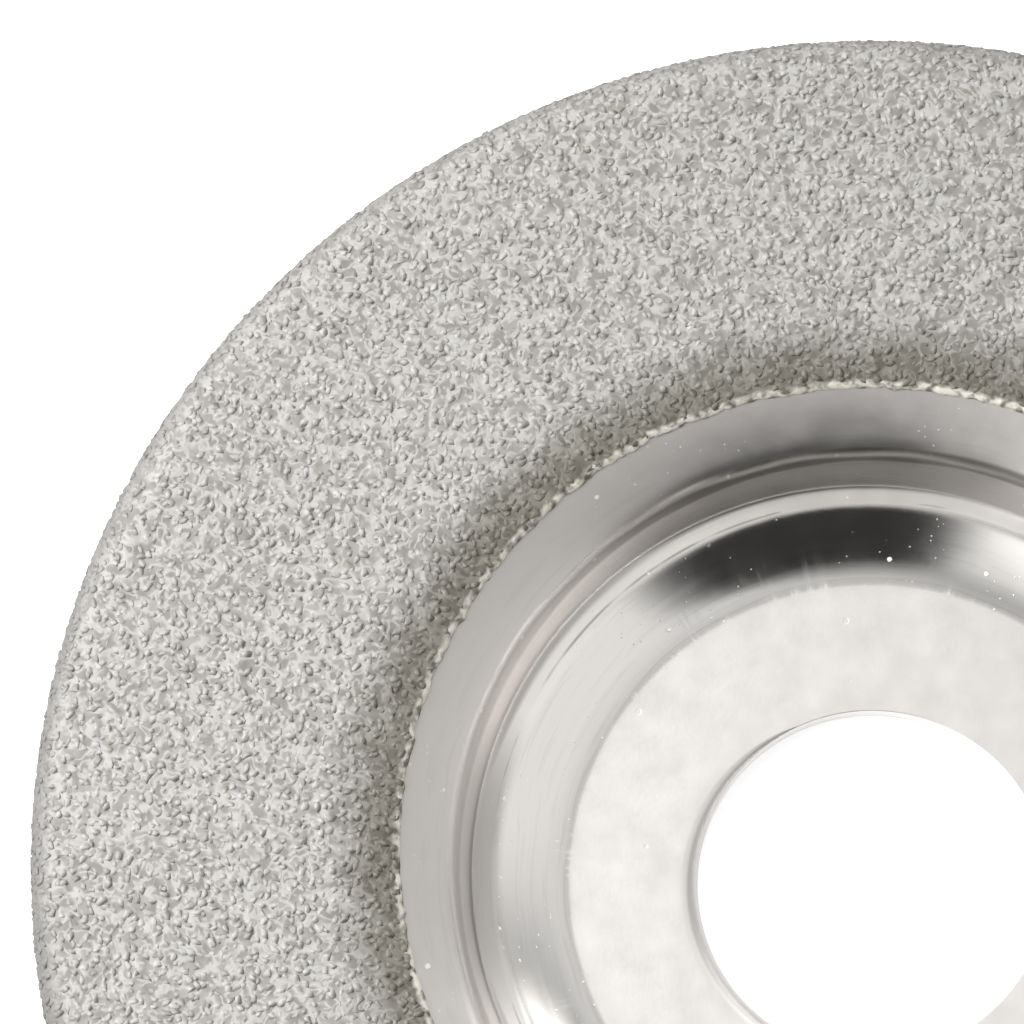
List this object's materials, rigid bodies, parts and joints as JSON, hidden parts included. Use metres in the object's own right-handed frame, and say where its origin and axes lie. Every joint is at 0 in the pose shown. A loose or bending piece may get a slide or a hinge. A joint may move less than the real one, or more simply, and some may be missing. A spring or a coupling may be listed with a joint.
{
  "type": "diamond grinding wheel",
  "caption": "Dish-shaped grinding wheel: pressed steel dish with a stepped hub recess and a plain arbor hole, with a plated diamond layer on its flat outer ring and rim.",
  "frame": {"origin": "on the wheel's axis, at the hub's back face, where the wheel seats on the grinder's flange", "axes": "+Z along the axis, towards the grinding face; X and Y lie in the wheel's plane, which has no preferred direction"},
  "size_m": [0.1, 0.1, 0.01],
  "materials": {
    "nickel_plated_steel": "bright nickel on pressed steel, satin on the hub's floor",
    "diamond_in_nickel": "coarse diamond grit held in electroplated nickel"
  },
  "bodies": {
    "root": {"steel_dish": "nickel_plated_steel", "diamond_layer": "diamond_in_nickel"}
  },
  "joints": []
}
